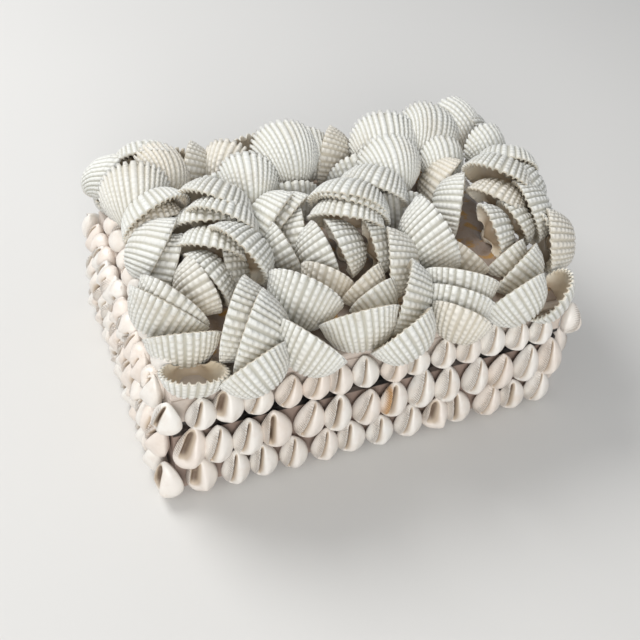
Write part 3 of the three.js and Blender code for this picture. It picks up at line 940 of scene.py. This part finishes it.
def row_points(row, side, luck):
    """Where the shells of one row stand: the foot of each, its kind, its turn and its tone."""
    count, first, pitch = ROWS[row]["long" if side in ("front", "back") else "short"]
    foot = ROWS[row]["foot"] * MM
    half, reach = WALL_HALF[side], WALL_REACH[side]
    back = ROWS[row]["size"][2] * MM * 0.36
    wall_turn = math.radians(90) * WALL_TURN[side]
    points = []
    for k in range(count):
        x = (first + k * pitch) * MM
        corner = abs(x) > half - 2 * MM
        turn = math.copysign(math.radians(45), x) if corner else luck.gauss(0, 0.06)
        tilt = luck.gauss(0, 0.10)
        spot = Vector((math.copysign(half, x), -reach, foot)) if corner else Vector((x, -reach, foot))
        out = Vector((math.sin(turn), -math.cos(turn), 0)) if corner else Vector((0, -1, 0))
        spot = spot + out * back + Vector((luck.gauss(0, 0.2), 0, luck.gauss(0, 0.25))) * MM
        spot.z = max(spot.z, 0.3 * MM)
        kind = luck.choice((0, 0, 1, 1, 2, 4, 4, 3 if luck.random() < 0.35 else 0))
        point = {"spot": spot, "turn": (luck.gauss(0, 0.05), tilt, turn), "kind": kind,
                 "tone": luck.random(), "stain": 0.0}
        point.update(ODD_SHELLS.get((row, side, k), {}))
        points.append(point)
    if side == CROWDED_SIDE:
        points += crowding_points(row, side, luck)
    whole_turn = Matrix.Rotation(wall_turn, 3, "Z")
    for point in points:
        point["spot"] = whole_turn @ point["spot"]
        lean, tilt, turn = point["turn"]
        point["turn"] = (lean, tilt, turn + wall_turn)
    return points


def crowding_points(row, side, luck):
    """Shells set upside down between the points of a row, and for the lid a row along its edge."""
    count, first, pitch = ROWS[row]["short"]
    length = ROWS[row]["size"][1] * MM
    points = []
    for k in range(count - 1):
        x = (first + (k + 0.5) * pitch) * MM
        over = Vector((x, -WALL_REACH[side] - 2.2 * MM, ROWS[row]["foot"] * MM + length * 1.02))
        turn = (luck.gauss(0, 0.1), math.pi + luck.gauss(0, 0.35), luck.gauss(0, 0.2))
        points.append({"spot": over, "turn": turn,
                       "kind": luck.choice((0, 1, 2, 4)), "tone": luck.uniform(0.5, 1.0), "stain": 0.0})
        if row == "lid_shells":
            edge = Vector((x + luck.gauss(0, 1) * MM, -WALL_REACH[side] - 1 * MM, LID_TOP + 1.8 * MM))
            points.append({"spot": edge, "turn": (luck.gauss(-1.25, 0.25), 0.0, luck.gauss(0, 0.35)),
                           "kind": luck.choice((0, 1, 4)), "tone": luck.uniform(0.5, 1.0), "stain": 0.0})
    return points


def build_row(row, side, tree):
    name = f"{row}_{side}"
    luck = random.Random(name)
    points = row_points(row, side, luck)
    mesh = bpy.data.meshes.new(name)
    mesh.from_pydata([p["spot"] for p in points], [], [])
    for label, kind in (("kind", "INT"), ("tone", "FLOAT"), ("stain", "FLOAT")):
        mesh.attributes.new(label, kind, "POINT").data.foreach_set("value", [p[label] for p in points])
    turns = [angle for p in points for angle in p["turn"]]
    mesh.attributes.new("turn", "FLOAT_VECTOR", "POINT").data.foreach_set("vector", turns)
    seed_points = bpy.data.objects.new(name, mesh)
    bpy.context.scene.collection.objects.link(seed_points)
    modifier = seed_points.modifiers.new("Shells", "NODES")
    modifier.node_group = tree
    width, length, thickness = (v * MM for v in ROWS[row]["size"])
    set_input(modifier, "Shell Size", (width, thickness, length))
    set_input(modifier, "Seed", sum(map(ord, name)))
    graph = bpy.context.evaluated_depsgraph_get()
    made = bpy.data.meshes.new_from_object(seed_points.evaluated_get(graph), depsgraph=graph)
    seed_points.modifiers.clear()
    bpy.data.objects.remove(seed_points)
    piece = bpy.data.objects.new(f"{name}_shells", made)
    bpy.context.scene.collection.objects.link(piece)
    made.polygons.foreach_set("use_smooth", [True] * len(made.polygons))
    return settle(piece, (name,))


# ---------------------------------------------------------------- operators

class MakeRoses(bpy.types.Operator):
    """Build the six roses of ribbed valves, with the glue that they stand in."""
    bl_idname = "shell_box.make_roses"
    bl_label = "Roses"

    def execute(self, context):
        sizes = context.scene.shell_box_sizes
        for name, rows in ROSES.items():
            build_rose(name, rows, sizes)
            build_rose_glue(name, rows, sizes)
        return {"FINISHED"}


class MakeRows(bpy.types.Operator):
    """Build the rows of small shells round the lid and the base."""
    bl_idname = "shell_box.make_rows"
    bl_label = "Rows of small shells"

    def execute(self, context):
        sources = small_shell_sources(context.scene.shell_box_sizes)
        tree = row_tree(sources)
        for row in ROWS:
            for side in WALL_TURN:
                build_row(row, side, tree)
        bpy.data.node_groups.remove(tree)
        for source in sources:
            bpy.data.objects.remove(source)
        return {"FINISHED"}


class FinishBoards(bpy.types.Operator):
    """Give the boards of the box and the lid their covering and lining: on the lid a paler copy of the
    covering as painted light, on the base a darker copy as painted shade, and a near-black lining as painted
    shade in the gap.
    """
    bl_idname = "shell_box.finish_boards"
    bl_label = "Boards"

    def execute(self, context):
        finishes = {"base_": "covering_paper_shaded", "lid_top": "lid_paper_lit", "lid_rim": "lid_paper_lit",
                    "neck_": "lining_board"}
        for name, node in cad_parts.items():
            for start, finish in finishes.items():
                if name.startswith(start):
                    node.data.materials.clear()
                    node.data.materials.append(material_named(finish))
        return {"FINISHED"}


class SetStage(bpy.types.Operator):
    """Lay the pale floor, hang the soft lights and stand the camera."""
    bl_idname = "shell_box.set_stage"
    bl_label = "Stage"

    def execute(self, context):
        scene = context.scene
        half = 2.0
        corners = [(-half, -half, 0), (half, -half, 0), (half, half, 0), (-half, half, 0)]
        floor = new_object("studio_floor", corners, [(0, 1, 2, 3)], smooth=False)
        floor.data.materials.append(material_named("studio_floor"))
        world = bpy.data.worlds.new("studio")
        world.use_nodes = True
        sky = world.node_tree.nodes["Background"]
        sky.inputs["Color"].default_value = (0.93, 0.96, 1.0, 1.0)
        sky.inputs["Strength"].default_value = 0.42
        scene.world = world
        scene.view_settings.view_transform = "Standard"
        for name, light in LIGHTS.items():
            add_light(name, *light)
        add_camera(scene)
        return {"FINISHED"}


LOOK_AT = Vector((0, 0, 0.035))
# Each light's place, diameter, power in watts and colour.
LIGHTS = {
    "window_light": ((-0.35, 0.45, 0.70), 0.50, 5.2, (1.0, 0.995, 0.985)),
    "front_fill": ((-0.35, -0.85, 0.50), 0.5, 5.7, (1.0, 0.985, 0.965)),
}
CAMERA_PLACE = (-0.1213, -0.2648, 0.2748)
CAMERA_AZIMUTH, CAMERA_ELEVATION, CAMERA_TIP = -24.73, 41.97, 4.35  # degrees
CAMERA_LENS = 54.06  # millimetres, on a 36 mm sensor


def aim(piece, place, target):
    piece.location = place
    piece.rotation_euler = (Vector(target) - Vector(place)).to_track_quat("-Z", "Y").to_euler()


def add_light(name, place, size, power, colour):
    light = bpy.data.lights.new(name, "AREA")
    light.shape = "DISK"
    light.size = size
    light.energy = power
    light.color = colour
    lamp = bpy.data.objects.new(name, light)
    bpy.context.scene.collection.objects.link(lamp)
    aim(lamp, place, LOOK_AT)


def add_camera(scene):
    """The camera looks down on the box from its front left, tipped a little to one side."""
    azimuth, elevation = math.radians(CAMERA_AZIMUTH), math.radians(CAMERA_ELEVATION)
    tip = math.radians(CAMERA_TIP)
    back = Vector((math.sin(azimuth) * math.cos(elevation), -math.cos(azimuth) * math.cos(elevation),
                   math.sin(elevation)))
    level = Vector((math.cos(azimuth), math.sin(azimuth), 0))
    above = back.cross(level)
    right = level * math.cos(tip) + above * math.sin(tip)
    up = above * math.cos(tip) - level * math.sin(tip)
    lens = bpy.data.cameras.new("camera")
    lens.sensor_width = 36
    lens.lens = CAMERA_LENS
    lens.clip_start = 0.01
    camera = bpy.data.objects.new("camera", lens)
    scene.collection.objects.link(camera)
    turn = Matrix((right, up, back)).transposed().to_4x4()
    camera.matrix_world = Matrix.Translation(CAMERA_PLACE) @ turn
    scene.camera = camera


class ShellBoxPanel(bpy.types.Panel):
    """Sizes, colours and steps of the shell box."""
    bl_idname = "VIEW3D_PT_shell_box"
    bl_label = "Shell Box"
    bl_space_type = "VIEW_3D"
    bl_region_type = "UI"
    bl_category = "Shell Box"

    def draw(self, context):
        for group in (context.scene.shell_box_sizes, context.scene.shell_box_colours):
            for key in group.__annotations__:
                self.layout.prop(group, key)
        for step in STEPS:
            self.layout.operator(step.bl_idname)


STEPS = (SetStage, FinishBoards, MakeRows, MakeRoses)
CLASSES = (ShellBoxSizes, ShellBoxColours, *STEPS, ShellBoxPanel)


def register():
    for item in CLASSES:
        bpy.utils.register_class(item)
    bpy.types.Scene.shell_box_sizes = bpy.props.PointerProperty(type=ShellBoxSizes)
    bpy.types.Scene.shell_box_colours = bpy.props.PointerProperty(type=ShellBoxColours)


def unregister():
    del bpy.types.Scene.shell_box_colours
    del bpy.types.Scene.shell_box_sizes
    for item in reversed(CLASSES):
        bpy.utils.unregister_class(item)


def main():
    register()
    bpy.ops.shell_box.set_stage()
    bpy.ops.shell_box.finish_boards()
    bpy.ops.shell_box.make_rows()
    bpy.ops.shell_box.make_roses()


if __name__ == "__main__":
    main()
